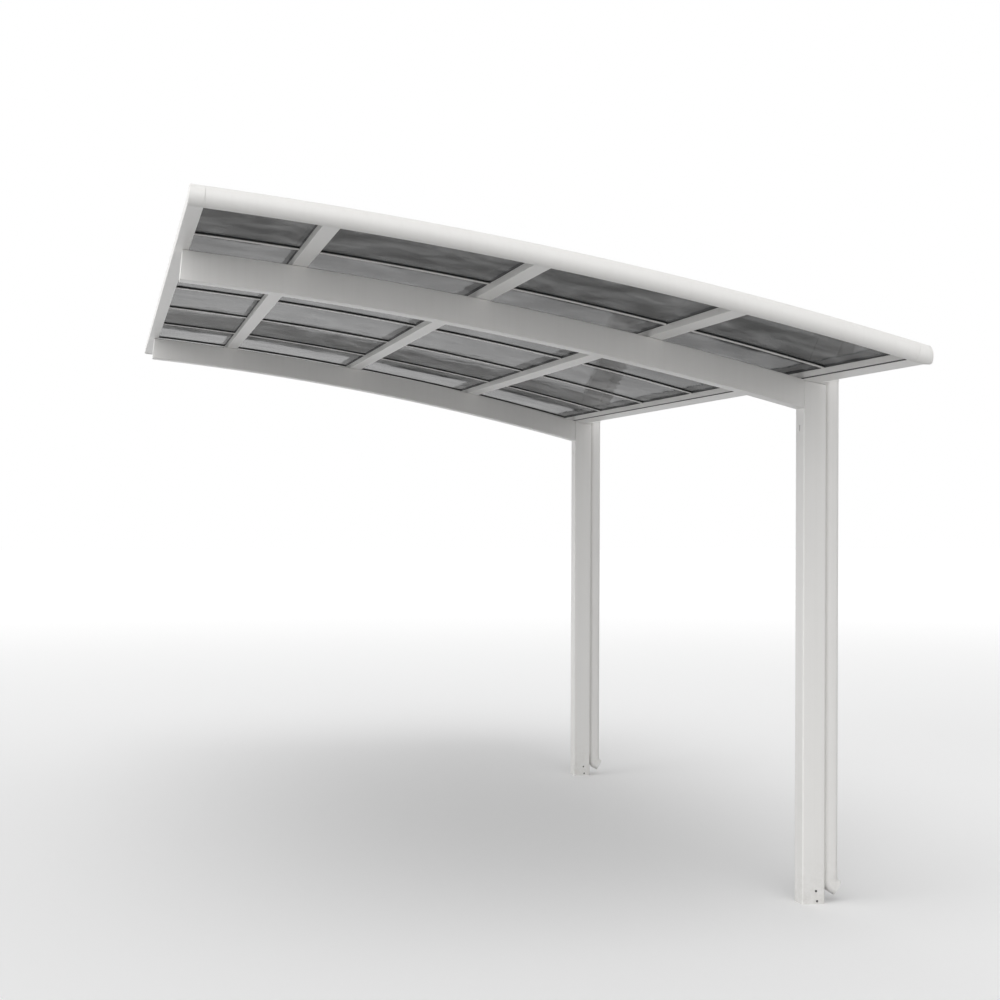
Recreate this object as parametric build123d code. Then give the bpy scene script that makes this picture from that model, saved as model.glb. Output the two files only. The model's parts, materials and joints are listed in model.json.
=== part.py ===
from build123d import *
import math
import os

os.makedirs("parts", exist_ok=True)

# Driving dimensions, millimetres and degrees
# The origin is the middle of the near post's foot, +X from the high edge to the low edge,
# +Y from the near post to the far post, +Z up.
post_width = 100.0
post_depth = 85.0
post_wall = 3.0
post_corner = 4.0
post_height = 2165.0
post_spacing = 3470.0
cap_thickness = 3.0
slot_width = 7.0
slot_length = 26.0
slot_below_beam = 84.0

arch_radius = 16400.0
arch_slope = 14.34

beam_height = 116.0
beam_wall = 3.0
beam_corner = 2.5
beam_set_back = 30.0
end_cap = 4.0

plate_thickness = 8.0
plate_reach = 240.0
plate_drop = 300.0
plate_clearance = 4.0
plate_side_gap = 1.0

strip_pitch = 785.0
strip_count = 7
panel_thickness = 3.0
seat = 0.3

purlin_width = 60.0
purlin_depth = 30.0
purlin_shares = (0.829, 0.55, 0.275)
profile_wall = 2.5
gasket_width = 7.0
gasket_height = 3.0
gasket_inset = 1.0

rail_outer_x = -2600.0
rail_width = 54.0
rail_top_width = 37.0

gutter_outer_x = 30.0
gutter_fall = 14.0
gutter_rise = 40.0
gutter_wall = 2.5
gutter_corner = 10.0
gutter_lip = 9.0
gutter_ledge = 26.0
gutter_window_width = 44.0
gutter_window_height = 14.0

trim_below = 33.0
trim_above = 40.0
trim_bulge = 30.0
trim_hollow_sides = 3
lip_width = 24.0
corner_length = 56.0
panel_set_back = 42.0

joint_flange = 24.0
joint_cap = 46.0
joint_cap_edge = 2.0
joint_cap_rise = 2.5
joint_web = 6.0
flange_thickness = 3.0
panel_clearance = 3.0

pipe_width = 63.0
pipe_depth = 60.0
pipe_radius = 22.0
pipe_wall = 2.0
pipe_bore_cut = 18.0
pipe_neck = 5.0
pipe_neck_depth = 40.0
pipe_bottom = 125.0
collar_depth = 15.0
hood_rise = 34.0
hood_slope = 16.0
shoe_socket = 30.0
shoe_bend = 4.0
shoe_angle = 60.0
shoe_mouth = 14.0

foot_height = 150.0
foot_plate = 8.0
foot_wall = 4.0
foot_clearance = 0.5
foot_hole = 11.0
foot_pitch_x = 60.0
foot_pitch_y = 44.0

# Derived places
post_left_x = -post_width / 2
post_right_x = post_width / 2
beam_top_r = -2 * seat - purlin_depth
centre_x = post_left_x - (arch_radius + beam_top_r) * math.sin(math.radians(arch_slope))
centre_z = post_height - (arch_radius + beam_top_r) * math.cos(math.radians(arch_slope))
arch_axis = Axis((centre_x, 0, centre_z), (0, 1, 0))
beam_end_x = rail_outer_x + beam_set_back
rail_inner_x = rail_outer_x + rail_width
purlin_x = [rail_outer_x * share for share in purlin_shares]
trim_middle = (trim_above - trim_below) / 2
trim_end_x = gutter_outer_x - corner_length
panel_end_x = gutter_outer_x - panel_set_back
roof_near_y = (post_spacing - strip_count * strip_pitch) / 2
roof_far_y = roof_near_y + strip_count * strip_pitch
frame_near_y = roof_near_y + trim_bulge
frame_far_y = roof_far_y - trim_bulge
joint_y = [roof_near_y + strip_pitch * k for k in range(1, strip_count)]
gasket_top = flange_thickness + gasket_height
panel_low = gasket_top + seat
panel_high = panel_low + panel_thickness
clamp_low = panel_high + seat
pipe_left_x = post_right_x + pipe_neck
pipe_right_x = pipe_left_x + pipe_width
pipe_middle_x = (pipe_left_x + pipe_right_x) / 2
arc_share = math.sqrt(0.5)


# Where things lie on the arch
def angle_at(x):
    """Angle from the vertical, in degrees, of the arch's radius that passes over x."""
    return math.degrees(math.asin((x - centre_x) / arch_radius))


def height_at(x, r):
    """Height over x of the circle that lies r outside the arch line."""
    return centre_z + math.sqrt((arch_radius + r) ** 2 - (x - centre_x) ** 2)


def head_z(x):
    """Height of the post heads and of the gutter's floor over x."""
    return post_height - gutter_fall * (x - post_left_x) / (gutter_outer_x - post_left_x)


pipe_top = head_z(post_right_x)


def upright(x, z):
    """Point of a section drawn in the XZ plane."""
    return Vector(x, 0, z)


def at_crown(y, r):
    """Point of a section drawn in the YZ plane over the arch's axis."""
    return Vector(centre_x, y, centre_z + arch_radius + r)


def square_to_arch(over_x):
    """Placing of a section in XZ, s down the roof and r above the arch line."""
    a = math.radians(angle_at(over_x))

    def place(s, r):
        reach = arch_radius + r
        x = centre_x + reach * math.sin(a) + s * math.cos(a)
        z = centre_z + reach * math.cos(a) - s * math.sin(a)
        return Vector(x, 0, z)

    return place


# Sections and solids
def outline(place, steps):
    """Face inside a closed outline. A step is a corner, or the middle and end of an arc."""
    edges = []
    here = steps[0]
    for step in steps[1:]:
        if isinstance(step[0], tuple):
            middle, end = step
            edges.append(ThreePointArc(place(*here), place(*middle), place(*end)))
        else:
            end = step
            edges.append(Line(place(*here), place(*end)))
        here = end
    edges.append(Line(place(*here), place(*steps[0])))
    return make_face(edges)


def rectangle(a0, a1, b0, b1):
    """Steps round a rectangle."""
    return [(a0, b0), (a1, b0), (a1, b1), (a0, b1)]


def along_y(face, y0, y1):
    """Straight bar with a section drawn at y = 0."""
    return extrude(Pos(0, y0, 0) * face, amount=y1 - y0, dir=(0, 1, 0))


def along_arch(face, x0, x1):
    """Section drawn at the crown, turned about the arch's axis from over x0 to over x1."""
    start = angle_at(x0)
    body = revolve(face, axis=arch_axis, revolution_arc=angle_at(x1) - start)
    return body.rotate(arch_axis, start)


def box_between(x0, x1, y0, y1, z0, z1):
    """Box between two corners."""
    return Pos((x0 + x1) / 2, (y0 + y1) / 2, (z0 + z1) / 2) * Box(x1 - x0, y1 - y0, z1 - z0)


def upright_bar(x, y, z0, z1, plan):
    """Upright bar or tube with a plan drawn round the origin."""
    return extrude(Pos(x, y, z0) * plan, amount=z1 - z0)


# Posts, with sloping heads, caps and inner feet
def make_post(y):
    """Tube with a sloping head, a window for the corner plates and a slot below the beam."""
    ring = RectangleRounded(post_width, post_depth, post_corner)
    ring -= Rectangle(post_width - 2 * post_wall, post_depth - 2 * post_wall)
    body = upright_bar(0, y, 0, post_height, ring)
    left = post_left_x - post_wall
    right = post_right_x + post_wall
    half = post_depth / 2
    above = [
        (left, head_z(left) - cap_thickness),
        (right, head_z(right) - cap_thickness),
        (right, post_height + post_wall),
        (left, post_height + post_wall),
    ]
    body -= along_y(outline(upright, above), y - half, y + half)
    inside = half - post_wall
    window_right = post_left_x + post_wall + plate_side_gap
    window_low = post_height - beam_height + beam_wall
    window_high = post_height - beam_wall - plate_clearance
    body -= box_between(left, window_right, y - inside, y + inside, window_low, window_high)
    slot_z = post_height - beam_height - slot_below_beam
    slot = Plane.YZ * SlotOverall(slot_length, slot_width, rotation=90)
    return body - extrude(Pos(left, y, slot_z) * slot, amount=2 * post_wall + 1, dir=(1, 0, 0))


def make_post_cap(y):
    """Sloping plate that closes the head of a post."""
    face = outline(
        upright,
        [
            (post_left_x, head_z(post_left_x) - cap_thickness),
            (post_right_x, head_z(post_right_x) - cap_thickness),
            (post_right_x, head_z(post_right_x)),
            (post_left_x, head_z(post_left_x)),
        ],
    )
    return along_y(face, y - post_depth / 2, y + post_depth / 2)


def make_foot(y):
    """Open-topped shoe inside the foot of a post, with four anchor holes in its floor."""
    width = post_width - 2 * (post_wall + foot_clearance)
    depth = post_depth - 2 * (post_wall + foot_clearance)
    body = upright_bar(0, y, 0, foot_height, Rectangle(width, depth))
    half_x = width / 2 - foot_wall
    half_y = depth / 2 - foot_wall
    body -= box_between(-half_x, half_x, y - half_y, y + half_y, foot_plate, foot_height + foot_plate)
    for place in GridLocations(foot_pitch_x, foot_pitch_y, 2, 2):
        body -= Pos(0, y, 0) * place * Cylinder(foot_hole / 2, 4 * foot_plate)
    return body


# Arched box beams with end plates and hidden corner plates
def beam_face(y):
    """Section of a beam's outside, with its edges broken."""
    half = post_depth / 2
    face = outline(at_crown, rectangle(y - half, y + half, beam_top_r - beam_height, beam_top_r))
    return chamfer(face.vertices(), beam_corner)


def make_beam(y):
    """Box section bent to the arch, cut off upright at the face of its post."""
    inside = post_depth / 2 - beam_wall
    low = beam_top_r - beam_height + beam_wall
    hollow = rectangle(y - inside, y + inside, low, beam_top_r - beam_wall)
    body = along_arch(beam_face(y) - outline(at_crown, hollow), beam_end_x + end_cap, 0)
    y0 = y - post_depth
    y1 = y + post_depth
    z0 = post_height - 2 * beam_height
    z1 = post_height + beam_height
    return body - box_between(post_left_x, post_width, y0, y1, z0, z1)


def make_beam_cap(y):
    """Plate over the open high end of a beam."""
    return along_arch(beam_face(y), beam_end_x, beam_end_x + end_cap)


def make_corner_plates(y):
    """Pair of L-shaped plates against the side walls where a beam meets its post."""
    far_left = post_left_x - plate_reach
    inner_left = post_left_x + post_wall + plate_side_gap
    inner_right = post_right_x - post_wall - plate_side_gap
    upper = -beam_wall - 2 * plate_clearance
    lower = -beam_height + beam_wall + plate_clearance
    foot = post_height - beam_height - plate_drop
    face = outline(
        upright,
        [
            (far_left, height_at(far_left, beam_top_r) + lower),
            (inner_left, post_height + lower),
            (inner_left, foot),
            (inner_right, foot),
            (inner_right, head_z(inner_right) - cap_thickness - plate_clearance),
            (inner_left, post_height + upper),
            (far_left, height_at(far_left, beam_top_r) + upper),
        ],
    )
    outside = post_depth / 2 - post_wall - seat
    near = along_y(face, y - outside, y - outside + plate_thickness)
    far = along_y(face, y + outside - plate_thickness, y + outside)
    return Compound(children=[near, far])


# Long members along the depth of the roof
def tube_face(place, width, low, high):
    """Section of a rectangular tube with thin walls."""
    w = profile_wall
    hollow = outline(place, rectangle(w, width - w, low + w, high - w))
    return outline(place, rectangle(0, width, low, high)) - hollow


def make_purlin(x):
    """Rectangular tube that lies square to the arch."""
    face = tube_face(square_to_arch(x), purlin_width, -seat - purlin_depth, -seat)
    return along_y(face, frame_near_y, frame_far_y)


def make_rail():
    """High edge member: a tube on the beams and a round-topped clamp over the panels' ends."""
    place = square_to_arch(rail_outer_x)
    w = profile_wall
    face = tube_face(place, rail_width, -seat - purlin_depth, -seat)
    face += outline(place, rectangle(0, w, -seat, clamp_low))
    radius = trim_above - clamp_low - 2 * w
    for inset, round_r in ((0, radius), (w, radius - w)):
        bend = round_r * arc_share
        middle = (radius - bend, trim_above - radius + bend)
        ring = outline(
            place,
            [
                (inset, clamp_low + inset),
                (rail_top_width - inset, clamp_low + inset),
                (rail_top_width - inset, trim_above - inset),
                (radius, trim_above - inset),
                (middle, (inset, trim_above - radius)),
            ],
        )
        face = face + ring if inset == 0 else face - ring
    return along_y(face, frame_near_y, frame_far_y)


def make_gutter():
    """Trough along the low edge, standing on the post heads, with a window at each outlet."""
    w = gutter_wall
    left = post_left_x
    right = gutter_outer_x
    top = post_height + gutter_rise
    turn_x = right - gutter_corner
    turn_z = head_z(turn_x) + gutter_corner
    outer = gutter_corner * arc_share
    inner = (gutter_corner - w) * arc_share
    ledge_x = left + gutter_ledge
    face = outline(
        upright,
        [
            (left, head_z(left)),
            (turn_x, head_z(turn_x)),
            ((turn_x + outer, turn_z - outer), (right, turn_z)),
            (right, top),
            (right - gutter_lip, top),
            (right - gutter_lip, top - w),
            (right - w, top - w),
            (right - w, turn_z),
            ((turn_x + inner, turn_z - inner), (turn_x, head_z(turn_x) + w)),
            (left + w, head_z(left + w) + w),
            (left + w, height_at(left + w, -seat - w)),
            (ledge_x, height_at(ledge_x, -seat - w)),
            (ledge_x, height_at(ledge_x, -seat)),
            (left, height_at(left, -seat)),
        ],
    )
    body = along_y(face, frame_near_y, frame_far_y)
    half = gutter_window_width / 2
    low = turn_z + w
    for y in (0, post_spacing):
        body -= box_between(turn_x, right + w, y - half, y + half, low, low + gutter_window_height)
    return body


def make_cross_gaskets():
    """Rubber strips under the panels on the purlins, the rail and the gutter's ledge."""
    strips = []
    inner = rail_width - gasket_inset - gasket_width
    steps = rectangle(inner, inner + gasket_width, -seat, gasket_top)
    rail_face = outline(square_to_arch(rail_outer_x), steps)
    strips.append(along_y(rail_face, frame_near_y + panel_clearance, frame_far_y - panel_clearance))
    steps = rectangle(gasket_inset, gasket_inset + gasket_width, -seat, gasket_top)
    beside_joint = joint_flange / 2 + gasket_inset
    starts = [frame_near_y + lip_width + gasket_inset] + [y + beside_joint for y in joint_y]
    ends = [y - beside_joint for y in joint_y] + [frame_far_y - lip_width - gasket_inset]
    for x in purlin_x + [post_left_x]:
        face = outline(square_to_arch(x), steps)
        for y0, y1 in zip(starts, ends):
            strips.append(along_y(face, y0, y1))
    return Compound(children=strips)


# Half-round trims along the near and far edges, with a piece at each corner
def half_round():
    """Half-round section outside the far end plane."""
    arc = ((roof_far_y, trim_middle), (frame_far_y, trim_above))
    return outline(at_crown, [(frame_far_y, -trim_below), arc])


def trim_hollow():
    """Hollow of flat sides in the half-round, with its corners a wall's thickness from the outside."""
    half = trim_above - trim_middle
    radius = (half ** 2 + trim_bulge ** 2) / (2 * trim_bulge)
    centre_y = roof_far_y - radius
    inner = radius - profile_wall
    reach = math.acos((frame_far_y + profile_wall - centre_y) / inner)
    corners = []
    for k in range(trim_hollow_sides + 1):
        a = reach * (2 * k / trim_hollow_sides - 1)
        corners.append((centre_y + inner * math.cos(a), trim_middle + inner * math.sin(a)))
    return outline(at_crown, corners)


def make_trim():
    """Hollow half-round trim, with a ledge below the panel's edge and a lip above it."""
    inner = frame_far_y - lip_width
    root = frame_far_y + profile_wall / 2
    face = half_round() - trim_hollow()
    face += outline(at_crown, rectangle(inner, root, 0, flange_thickness))
    face += outline(at_crown, rectangle(inner, root, clamp_low, clamp_low + profile_wall))
    return along_arch(face, rail_inner_x, trim_end_x)


def straight_corner(over_x, length):
    """Half-round bar that leaves the arch squarely over an x and runs straight towards +X."""
    face = half_round().rotate(arch_axis, angle_at(over_x))
    a = math.radians(angle_at(over_x))
    return extrude(face, amount=length, dir=(math.cos(a), 0, -math.sin(a)))


def make_high_corner():
    """Moulded piece that carries the trim's section across the end of the rail."""
    return straight_corner(rail_outer_x, rail_width - seat)


def make_low_corner():
    """Moulded piece across the end of the gutter, level below at its end, which is upright."""
    body = straight_corner(trim_end_x, 2 * corner_length)
    y0 = frame_near_y
    y1 = roof_far_y + trim_bulge
    level = height_at(gutter_outer_x - trim_bulge, -trim_below)
    z0 = level - trim_above
    z1 = level + 3 * trim_above
    right = gutter_outer_x + 3 * corner_length
    body -= box_between(trim_end_x - corner_length, right, y0, y1, z0, level)
    return body - box_between(gutter_outer_x, right, y0, y1, z0, z1)


def near_side(shape):
    """Mirror image on the near edge of a piece made for the far edge."""
    return mirror(shape, about=Plane.XZ.offset(-post_spacing / 2))


# Roof strips and the profiles that join them
def make_panel(k):
    """Bent sheet between two joint profiles, or between one and a trim."""
    reach = joint_web / 2 + panel_clearance
    y0 = frame_near_y + panel_clearance if k == 0 else joint_y[k - 1] + reach
    y1 = frame_far_y - panel_clearance if k == strip_count - 1 else joint_y[k] - reach
    face = outline(at_crown, rectangle(y0, y1, panel_low, panel_high))
    return along_arch(face, rail_outer_x + profile_wall + panel_clearance, panel_end_x)


def make_joint(y):
    """Profile with a lower flange, a web and a ridged upper clamp between two panels."""
    half = joint_flange / 2
    cap = joint_cap / 2
    web = joint_web / 2
    edge = clamp_low + joint_cap_edge
    face = outline(
        at_crown,
        [
            (y - half, 0),
            (y + half, 0),
            (y + half, flange_thickness),
            (y + web, flange_thickness),
            (y + web, clamp_low),
            (y + cap, clamp_low),
            (y + cap, edge),
            (y, edge + joint_cap_rise),
            (y - cap, edge),
            (y - cap, clamp_low),
            (y - web, clamp_low),
            (y - web, flange_thickness),
            (y - half, flange_thickness),
        ],
    )
    return along_arch(face, rail_inner_x + gasket_inset, panel_end_x)


def make_joint_gaskets():
    """Rubber strips under the panels' long edges, on the joints' flanges and the trims' ledges."""
    ledge = frame_far_y - lip_width + gasket_inset
    inner = joint_flange / 2 - gasket_inset - gasket_width
    runs = [(post_spacing - ledge - gasket_width, trim_end_x), (ledge, trim_end_x)]
    runs += [(y + inner, panel_end_x) for y in joint_y]
    runs += [(y - inner - gasket_width, panel_end_x) for y in joint_y]
    strips = []
    for y, end_x in runs:
        steps = rectangle(y, y + gasket_width, flange_thickness, gasket_top)
        strips.append(along_arch(outline(at_crown, steps), rail_inner_x + gasket_inset, end_x))
    return Compound(children=strips)


# Rainwater pieces on the outer side of each post
def bore_plan(inset):
    """Plan of a bore with cut corners, or of what fits in it, drawn in from the pipe's outside."""
    face = Rectangle(pipe_width - 2 * inset, pipe_depth - 2 * inset)
    return chamfer(face.vertices(), pipe_bore_cut)


def pipe_plan(neck=0.0):
    """Plan of the downpipe, round-cornered outside and with cut corners inside."""
    face = RectangleRounded(pipe_width, pipe_depth, pipe_radius)
    if neck:
        length = neck + 2 * pipe_wall
        middle = (length - pipe_width) / 2 - neck
        face += Pos(middle, 0) * Rectangle(length, pipe_neck_depth)
    return face - bore_plan(pipe_wall)


def make_pipe(y):
    """Rounded downpipe with a fixing neck against the post."""
    return upright_bar(pipe_middle_x, y, pipe_bottom, pipe_top, pipe_plan(pipe_neck))


def hood(y, inset):
    """Body of the outlet's hood, drawn in by an inset but run on through the gutter's wall."""
    start = gutter_outer_x - inset
    right = pipe_right_x - inset
    high = head_z(gutter_outer_x) + hood_rise - inset
    side = outline(
        upright,
        [
            (start, head_z(start) + inset),
            (post_right_x, pipe_top + inset),
            (right, pipe_top + inset),
            (right, high - hood_slope),
            (right - 2 * hood_slope, high),
            (start, high),
        ],
    )
    plan = RectangleRounded(2 * (right - start), pipe_depth - 2 * inset, pipe_radius - inset)
    block = extrude(Pos(start, y, pipe_top) * plan, amount=2 * hood_rise)
    return along_y(side, y - pipe_depth, y + pipe_depth) & block


def make_outlet(y):
    """Hood from the window in the gutter's outer wall, with a collar down into the pipe."""
    outside = pipe_wall + seat
    bottom = pipe_top - collar_depth
    body = hood(y, 0) - hood(y, pipe_wall)
    body += upright_bar(pipe_middle_x, y, bottom, pipe_top + pipe_wall, bore_plan(outside))
    bore = bore_plan(outside + pipe_wall)
    return body - upright_bar(pipe_middle_x, y, bottom, pipe_top + 2 * pipe_wall, bore)


def make_shoe(y):
    """Elbow under the downpipe, mitred once, that turns the water away from the post."""
    half_turn = math.radians(shoe_angle / 2)
    reach = (pipe_width / 2 + shoe_bend) * math.tan(half_turn)
    corner = Vector(pipe_middle_x, y, pipe_bottom - shoe_socket - reach)
    ahead = Vector(math.sin(2 * half_turn), 0, -math.cos(2 * half_turn))
    mitre = Plane(origin=corner, z_dir=(math.sin(half_turn), 0, -math.cos(half_turn)))
    length = 2 * pipe_width
    upper = upright_bar(pipe_middle_x, y, pipe_bottom - length, pipe_bottom, pipe_plan())
    across = Plane(origin=corner + ahead * (reach + shoe_mouth), x_dir=(0, 1, 0), z_dir=-ahead)
    lower = extrude(across * Rot(0, 0, 90) * pipe_plan(), amount=length)
    return split(upper, mitre, keep=Keep.BOTTOM) + split(lower, mitre, keep=Keep.TOP)


# All pieces by name
parts = {}
for name, y in (("near", 0.0), ("far", post_spacing)):
    parts[name + "_post"] = make_post(y)
    parts[name + "_post_cap"] = make_post_cap(y)
    parts[name + "_post_foot"] = make_foot(y)
    parts[name + "_beam"] = make_beam(y)
    parts[name + "_beam_end_cap"] = make_beam_cap(y)
    parts[name + "_corner_plates"] = make_corner_plates(y)
    parts[name + "_downpipe"] = make_pipe(y)
    parts[name + "_gutter_outlet"] = make_outlet(y)
    parts[name + "_downpipe_shoe"] = make_shoe(y)

parts["high_edge_rail"] = make_rail()
parts["low_edge_gutter"] = make_gutter()
for number, x in enumerate(purlin_x, 1):
    parts[f"purlin_{number}"] = make_purlin(x)

for name, make in (("trim", make_trim), ("high_corner", make_high_corner), ("low_corner", make_low_corner)):
    parts["far_" + name] = make()
    parts["near_" + name] = near_side(make())

for k in range(strip_count):
    parts[f"roof_panel_{k + 1}"] = make_panel(k)
for number, y in enumerate(joint_y, 1):
    parts[f"panel_joint_{number}"] = make_joint(y)
parts["cross_gaskets"] = make_cross_gaskets()
parts["joint_gaskets"] = make_joint_gaskets()

for name, shape in parts.items():
    export_step(shape, f"parts/{name}.step")
    box = shape.bounding_box()
    print(name, [round(v, 1) for v in (*box.min, *box.max)])
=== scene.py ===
"""A white cantilever carport with an arched roof of smoked sheets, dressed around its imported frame."""

import json
import math

import bmesh
import bpy
import numpy as np
from mathutils import Matrix, Vector


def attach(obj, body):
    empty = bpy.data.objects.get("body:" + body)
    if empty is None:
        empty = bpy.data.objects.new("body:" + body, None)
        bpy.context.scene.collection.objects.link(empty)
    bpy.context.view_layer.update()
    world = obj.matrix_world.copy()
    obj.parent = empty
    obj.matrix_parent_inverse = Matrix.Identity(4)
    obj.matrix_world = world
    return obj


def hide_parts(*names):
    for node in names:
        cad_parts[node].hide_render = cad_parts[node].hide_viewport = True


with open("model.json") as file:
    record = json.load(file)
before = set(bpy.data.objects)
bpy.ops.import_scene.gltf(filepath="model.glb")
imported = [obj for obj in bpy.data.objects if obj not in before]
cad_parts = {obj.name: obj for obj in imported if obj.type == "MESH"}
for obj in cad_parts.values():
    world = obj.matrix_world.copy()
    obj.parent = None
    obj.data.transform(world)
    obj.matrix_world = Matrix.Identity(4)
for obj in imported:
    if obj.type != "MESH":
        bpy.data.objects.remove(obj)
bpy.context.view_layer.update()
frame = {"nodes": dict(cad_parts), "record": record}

bl_info = {
    "name": "Cantilever Carport",
    "version": (1, 0, 0),
    "blender": (4, 5, 0),
    "location": "3D View > Sidebar > Carport",
    "description": "Builds a carport with an arched smoked roof around its frame",
    "category": "Object",
}

# Sizes of the frame, in metres, with s and y along the roof and r above the arch line
POST_HALF_X = 0.050
POST_HALF_Y = 0.0425
POST_WALL = 0.003
POST_CORNER = 0.006
POST_HEIGHT = 2.165
POST_SPACING = 3.47
POSTS = (("near", 0.0), ("far", POST_SPACING))
CAP_THICKNESS = 0.003
SLOT_Z = 1.965
SLOT_WIDTH = 0.007
SLOT_LENGTH = 0.026
# Share of half its width that a slot's round end takes, so that its two arcs don't meet in one point
ROUND_SHARE = 0.999
SEAT = 0.0003
PURLIN_WIDTH = 0.060
PURLIN_DEPTH = 0.030
PURLIN_X = (-2.1554, -1.43, -0.715)
PROFILE_WALL = 0.0025
PROFILE_CORNER = 0.0022
PROFILE_HOLLOW_CORNER = 0.0006
ARCH_RADIUS = 16.4
ARCH_SLOPE = math.radians(14.34)
BEAM_TOP = -2 * SEAT - PURLIN_DEPTH
BEAM_HEIGHT = 0.116
BEAM_WALL = 0.003
BEAM_CORNER = 0.0035
BEAM_HOLLOW_CORNER = 0.001
BEAM_END_X = -2.57
BEAM_CAP = 0.004
CENTRE_X = -POST_HALF_X - (ARCH_RADIUS + BEAM_TOP) * math.sin(ARCH_SLOPE)
CENTRE_Z = POST_HEIGHT - (ARCH_RADIUS + BEAM_TOP) * math.cos(ARCH_SLOPE)
RAIL_OUTER_X = -2.6
RAIL_WIDTH = 0.054
RAIL_TOP_WIDTH = 0.037
RAIL_INNER_X = RAIL_OUTER_X + RAIL_WIDTH
GUTTER_OUTER_X = 0.030
GUTTER_FALL = 0.014
GUTTER_TOP = 2.205
GUTTER_WALL = 0.0025
GUTTER_CORNER = 0.010
GUTTER_LIP = 0.009
GUTTER_LEDGE = 0.026
# Straight left between a gutter corner's arc and its neighbour
ARC_GAP = 0.0001
WINDOW_WIDTH = 0.044
WINDOW_HEIGHT = 0.014
WINDOW_CORNER = 0.002
# Broken edges of mouldings and folded corners, and those inside the gutter
SOFT_EDGE = 0.0012
FINE_EDGE = 0.0008
SEAM_LOW = POST_HEIGHT + 0.0015
SEAM_HIGH = SEAM_LOW + 0.005
SEAM_IN_X = -POST_HALF_X + 0.0016
SEAM_RECESS = 0.0003
TRIM_BELOW = 0.033
TRIM_ABOVE = 0.040
TRIM_BULGE = 0.030
LIP_WIDTH = 0.024
CORNER_LENGTH = 0.056
TRIM_END_X = GUTTER_OUTER_X - CORNER_LENGTH
PANEL_END_X = -0.012
FLANGE = 0.003
GASKET_TOP = 0.006
PANEL_LOW = GASKET_TOP + SEAT
PANEL_THICKNESS = 0.003
PANEL_HIGH = PANEL_LOW + PANEL_THICKNESS
PANEL_CORNER = 0.0005
CLAMP_LOW = PANEL_HIGH + SEAT
STRIP_PITCH = 0.785
STRIP_COUNT = 7
JOINT_FLANGE = 0.024
JOINT_CAP = 0.046
JOINT_WEB = 0.006
JOINT_CAP_EDGE = 0.002
JOINT_CAP_RISE = 0.0025
JOINT_CAP_LOW_EDGE = 0.0004
JOINT_CAP_HIGH_EDGE = 0.0007
# Share of the cap's half width that its ridge takes
JOINT_CROWN = 0.9
JOINT_START_GAP = 0.001
PANEL_GAP = 0.003
ROOF_NEAR_Y = (POST_SPACING - STRIP_COUNT * STRIP_PITCH) / 2
ROOF_FAR_Y = ROOF_NEAR_Y + STRIP_COUNT * STRIP_PITCH
FRAME_NEAR_Y = ROOF_NEAR_Y + TRIM_BULGE
FRAME_FAR_Y = ROOF_FAR_Y - TRIM_BULGE
JOINT_Y = [ROOF_NEAR_Y + STRIP_PITCH * k for k in range(1, STRIP_COUNT)]
# Where a sheet is held: on the rail's seal, on each purlin's and on the ledge's
HELD_X = (RAIL_OUTER_X + 0.04, *(x + 0.006 for x in PURLIN_X), -0.045)
# How the sag differs from sheet to sheet, and how steeply it starts at a sheet's sides
SAG_SPREAD = 0.35
SAG_TURN = 2.4
SAG_START = 0.7
SAG_POWER = 0.8
PIPE_LEFT_X = 0.055
PIPE_RIGHT_X = 0.118
PIPE_HALF_Y = 0.030
PIPE_CORNER = 0.022
PIPE_WALL = 0.002
PIPE_NECK_HALF = 0.020
PIPE_BOTTOM = 0.125
HOOD_RISE = 0.034
HOOD_ROUND = 0.020
# Shares of the rounding that draw the hood's top in on its outer side and on its flanks
HOOD_DRAW_OUT = 0.9
HOOD_DRAW_FLANK = 0.12
HOOD_CORNER = 0.0165
HOOD_SEAM_RISE = 0.12
HEAD_GAP = 0.0018
SHOE_SOCKET = 0.030
SHOE_BEND = 0.004
SHOE_ANGLE = math.radians(60.0)
SHOE_MOUTH = 0.014
SHOE_PROUD = 0.0008
# Screws along each clamp and trim: distance from the rail, place over the ledge, and how deep they sit
SCREW_FROM_RAIL = 0.035
SCREW_AT_LEDGE_X = -0.040
SCREW_SINK = 0.0002
EDGE_WASHER = 0.013
# Places of the plugs on a post's two broad sides, x and z
PLUG_PLACES = ((0.010, 0.054), (0.015, 0.012))
# Outline of a washer: share of its radius and height
WASHER_OUTLINE = ((1.0, 0.0), (1.0, 0.0009), (0.93, 0.0013))
# Outline of a screw head from its seat to the bottom of its recess, and whether a ring is hexagonal
HEAD_SEAT = 1.02
HEAD_OUTLINE = (
    (1.0, 0.0, False),
    (1.0, 0.0009, False),
    (0.86, 0.0022, False),
    (0.58, 0.0030, False),
    (0.42, 0.0031, True),
    (0.40, 0.0012, True),
)

# Roughness of a white finish, waves of its grain along a metre and their depth
COAT_GRAIN = (0.34, 380.0, 0.00003)
MOULDING_GRAIN = (0.40, 700.0, 0.000012)

# The camera that fits the photograph, for a square picture
CAMERA_PLACE = (-2.8695, -6.5771, 1.6222)
CAMERA_YAW = math.radians(13.2143)
CAMERA_PITCH = math.radians(0.3215)
CAMERA_ROLL = math.radians(0.2348)
CAMERA_LENS = 61.2
CAMERA_SENSOR = 36.0
CAMERA_REACH = 300.0

# Strength of the light from the white background, and the share of it that is missing from +X
WORLD_LIGHT = 0.65
WORLD_SHADE = 0.35
LAMP_ANGLE = math.radians(50.0)
# Name, strength and direction towards each soft lamp
LAMPS = (
    ("left_lamp", 1.35, (-1.0, -0.3, 0.15)),
    ("front_lamp", 0.80, (-0.25, -1.0, 0.12)),
    ("top_lamp", 0.75, (-0.3, -0.6, 1.0)),
)
FLOOR_HALF = 60.0
# Distances between which the floor fades into the background
FADE_START = 6.0
FADE_END = 24.0

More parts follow.
